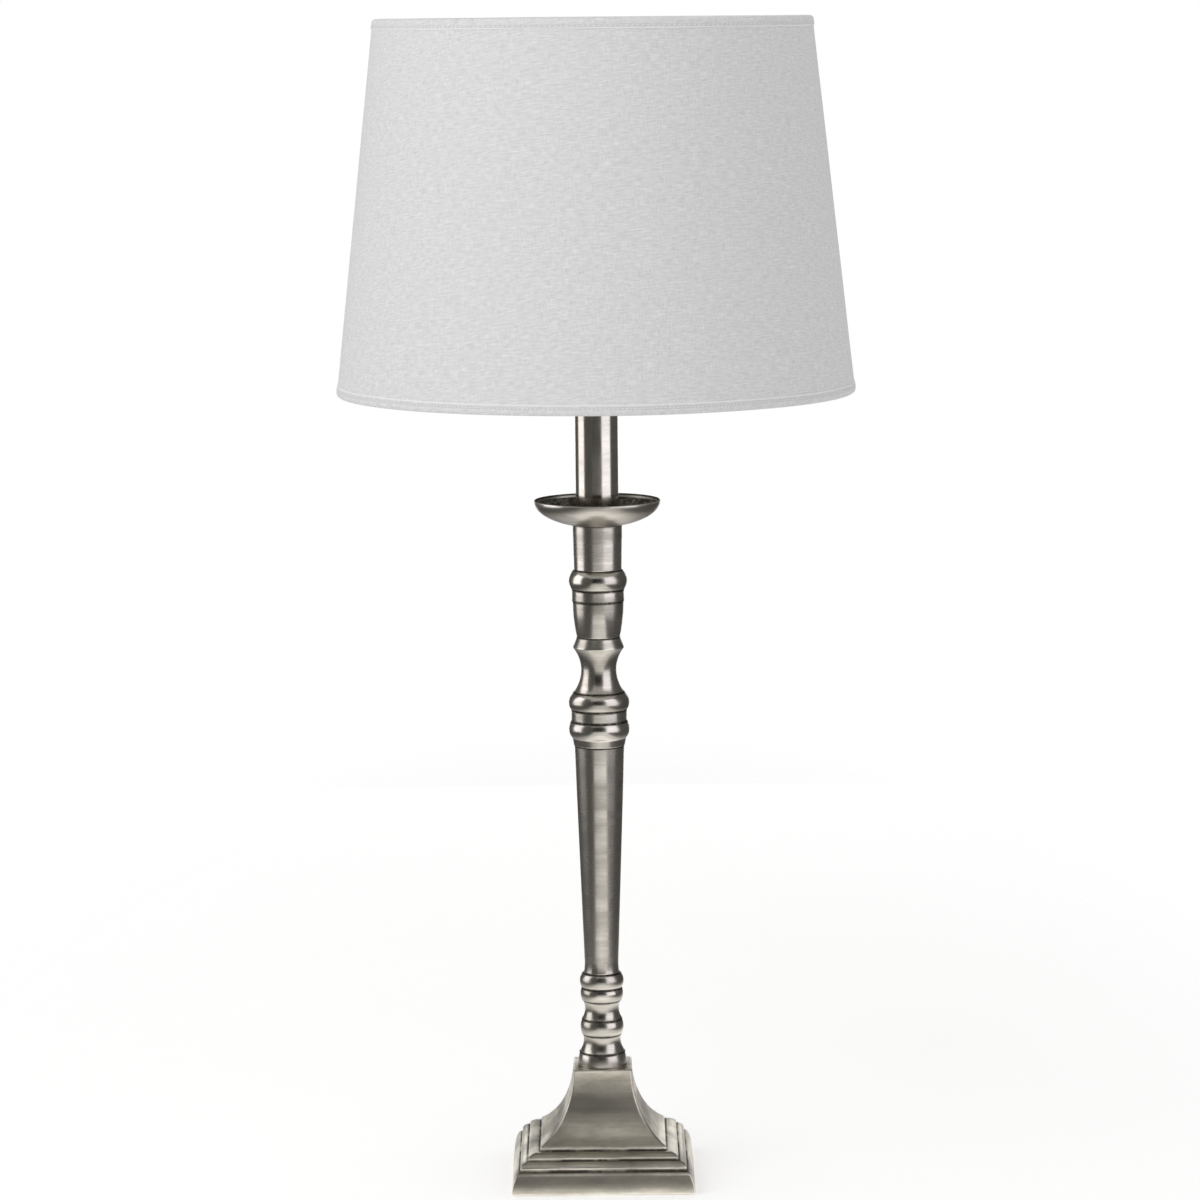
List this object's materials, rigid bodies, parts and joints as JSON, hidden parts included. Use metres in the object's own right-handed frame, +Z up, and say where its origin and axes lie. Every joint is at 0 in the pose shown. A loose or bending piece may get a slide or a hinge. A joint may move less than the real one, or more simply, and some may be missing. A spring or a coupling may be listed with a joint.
{
  "type": "table lamp",
  "caption": "Table lamp with a square stepped base, a turned stem, a drip pan and candle tube, and a tapered white linen shade that turns on its lampholder.",
  "frame": {"origin": "middle of the felt's underside, on the stem's axis, at table level", "axes": "+Z up along the stem, front along -Y, cord inlet at the back along +Y, +X to the right seen from the front"},
  "size_m": [0.2997, 0.2996, 0.678],
  "materials": {
    "antique_nickel_cast": "cast aluminium, antique nickel plated, brushed, dark in the grooves",
    "antique_nickel_turned": "turned aluminium, antique nickel plated, fine lathe lines, dark in the grooves",
    "antique_nickel_sheet": "spun and drawn steel, antique nickel plated, brushed lengthwise",
    "iron_ballast": "raw cast",
    "felt": "pressed felt",
    "black_plastic": "satin moulded",
    "zinc_steel": "zinc plated",
    "porcelain": "glazed",
    "brass": "rolled sheet",
    "bulb_metal": "thin drawn sheet",
    "bulb_black_glass": "fused insulator",
    "opal_glass": "opal white",
    "white_wire": "white powder coat",
    "shade_film": "matt white film",
    "shade_linen": "off-white linen, plain weave with slubs",
    "hem_linen": "off-white linen, folded and stitched"
  },
  "bodies": {
    "stand": {"base_casting": "antique_nickel_cast", "lower_baluster": "antique_nickel_turned", "tapered_column": "antique_nickel_turned", "upper_baluster": "antique_nickel_turned", "candle_cup": "antique_nickel_turned", "neck_sleeve": "antique_nickel_turned", "drip_pan": "antique_nickel_sheet", "candle_tube": "antique_nickel_sheet", "ballast_weight": "iron_ballast", "felt_pad": "felt", "threaded_rod": "zinc_steel", "clamp_nut": "zinc_steel", "clamp_washer": "zinc_steel", "tube_foot_bush": "zinc_steel", "tube_top_bush": "zinc_steel", "cap_lock_screw": "zinc_steel", "terminal_screws": "zinc_steel", "holder_insert": "porcelain", "cord_bushing": "black_plastic", "holder_cap": "black_plastic", "holder_sleeve": "black_plastic", "screw_shell": "brass", "centre_contact": "brass"},
    "shade": {"fitter_ring": "white_wire", "fitter_arms": "white_wire", "top_wire": "white_wire", "bottom_wire": "white_wire", "shade_liner": "shade_film", "shade_linen": "shade_linen", "top_hem": "hem_linen", "bottom_hem": "hem_linen"},
    "shade_ring": {"shade_ring": "black_plastic"},
    "bulb": {"bulb_contact": "brass", "bulb_insulator": "bulb_black_glass", "bulb_cap": "bulb_metal", "bulb_globe": "opal_glass"}
  },
  "joints": [
    {"name": "shade_swivel", "type": "hinge", "parent": "stand", "child": "shade", "pos_m": [0, 0, 0.5481], "axis": [0, 0, 1], "continuous": true},
    {"name": "shade_ring_turn", "type": "hinge", "parent": "stand", "child": "shade_ring", "pos_m": [0, 0, 0.5536], "axis": [0, 0, 1], "range_deg": [0, 1080]},
    {"name": "bulb_turn", "type": "hinge", "parent": "stand", "child": "bulb", "pos_m": [0, 0, 0.5806], "axis": [0, 0, 1], "range_deg": [0, 2160]}
  ]
}
